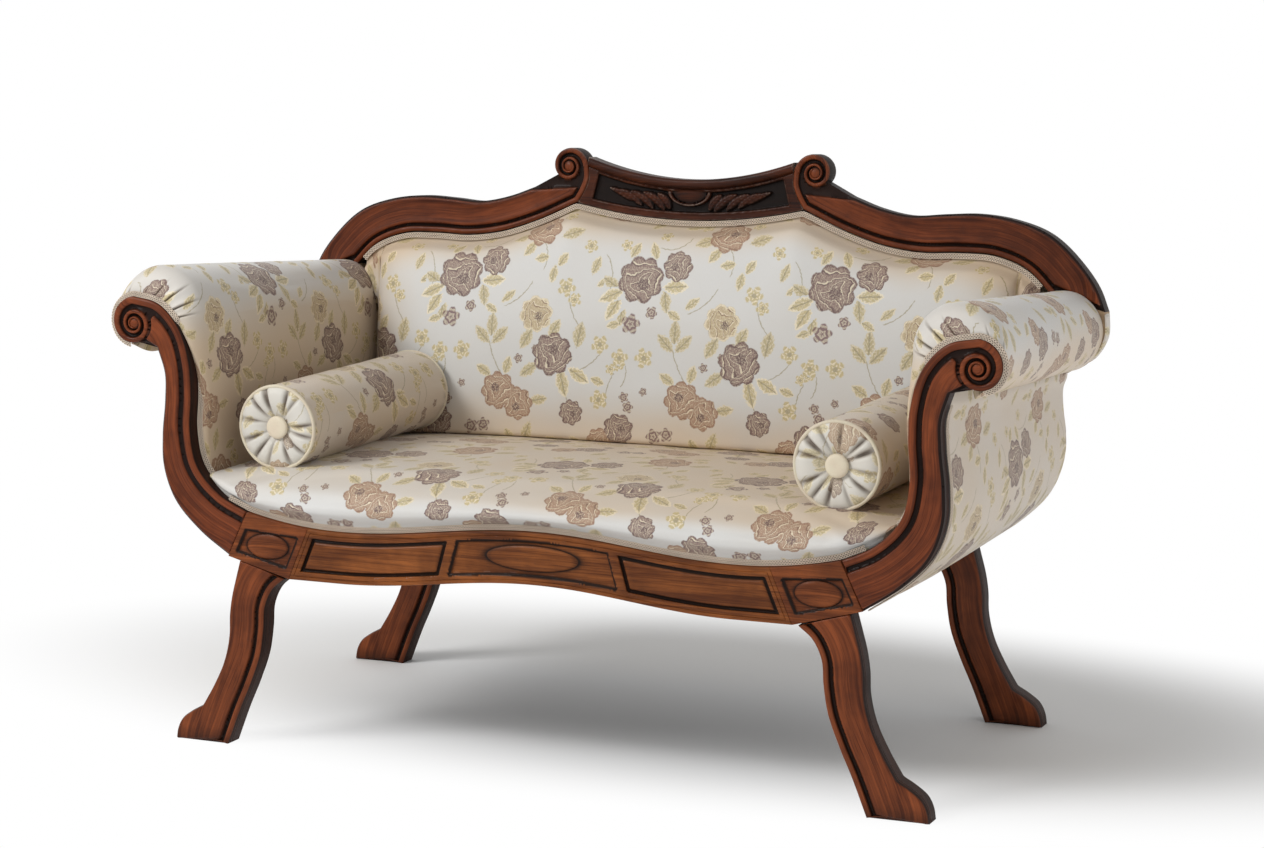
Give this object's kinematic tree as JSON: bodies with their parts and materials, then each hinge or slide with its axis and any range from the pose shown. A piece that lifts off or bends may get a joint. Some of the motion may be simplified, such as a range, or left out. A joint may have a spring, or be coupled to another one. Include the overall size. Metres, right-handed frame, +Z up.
{
  "type": "scroll-arm sofa",
  "caption": "Show-wood sofa on splayed sabre legs, with lyre-shaped scroll arms, a carved broken-arch crest, a sprung brocade seat and a loose bolster at each arm.",
  "frame": {"origin": "on the floor under the middle of the sofa's bounding box", "axes": "+X to the right as one faces the sofa from the front, along its width; +Y to the back; +Z up"},
  "size_m": [1.525, 0.7024, 0.9553],
  "materials": {
    "show_wood": "dark red-brown wood, waxed, with near-black grooves",
    "frame_wood": "plain sawn hardwood, hidden",
    "dowel_wood": "turned hardwood dowel",
    "webbing": "jute webbing and hessian",
    "stuffing": "felted stuffing",
    "brocade": "silvery satin brocade with roses in mauve brown and gold",
    "gimp": "woven braid",
    "spring_steel": "drawn wire",
    "back_cloth": "plain silvery satin",
    "dust_cloth": "thin black cloth",
    "tack_steel": "blued tack heads"
  },
  "bodies": {
    "sofa": {"front_rail": "show_wood", "left_corner_block": "show_wood", "right_corner_block": "show_wood", "left_arm_facade": "show_wood", "right_arm_facade": "show_wood", "left_front_leg": "show_wood", "right_front_leg": "show_wood", "left_rear_leg": "show_wood", "right_rear_leg": "show_wood", "left_rear_block": "frame_wood", "right_rear_block": "frame_wood", "back_rail": "frame_wood", "left_side_rail": "frame_wood", "right_side_rail": "frame_wood", "corner_braces": "frame_wood", "web_batten": "frame_wood", "left_back_post": "frame_wood", "right_back_post": "frame_wood", "stay_rail": "frame_wood", "back_muntin": "frame_wood", "left_crest_rail": "show_wood", "right_crest_rail": "show_wood", "crest_tablet": "show_wood", "left_arm_board": "frame_wood", "right_arm_board": "frame_wood", "left_arm_rail": "frame_wood", "right_arm_rail": "frame_wood", "leg_dowels": "dowel_wood", "crest_dowels": "dowel_wood", "seat_webbing": "webbing", "seat_springs": "spring_steel", "seat_hessian": "webbing", "seat_stuffing": "stuffing", "seat_cover": "brocade", "back_webbing": "webbing", "back_stuffing": "stuffing", "back_cover": "brocade", "left_arm_stuffing": "stuffing", "right_arm_stuffing": "stuffing", "left_arm_cover": "brocade", "right_arm_cover": "brocade", "left_roll_facing": "brocade", "right_roll_facing": "brocade", "left_outer_arm": "brocade", "right_outer_arm": "brocade", "outside_back": "back_cloth", "dust_cover": "dust_cloth", "cover_tacks": "tack_steel", "seat_gimp": "gimp", "back_gimp": "gimp", "left_arm_gimp": "gimp", "right_arm_gimp": "gimp"},
    "left_bolster": {"left_bolster_fill": "stuffing", "left_bolster_case": "brocade", "left_bolster_ends": "brocade", "left_bolster_buttons": "brocade"},
    "right_bolster": {"right_bolster_fill": "stuffing", "right_bolster_case": "brocade", "right_bolster_ends": "brocade", "right_bolster_buttons": "brocade"}
  },
  "joints": [
    {"name": "left_bolster_lift", "type": "slide", "parent": "sofa", "child": "left_bolster", "axis": [0, 0, 1], "range_m": [0, 0.3]},
    {"name": "right_bolster_lift", "type": "slide", "parent": "sofa", "child": "right_bolster", "axis": [0, 0, 1], "range_m": [0, 0.3]}
  ]
}
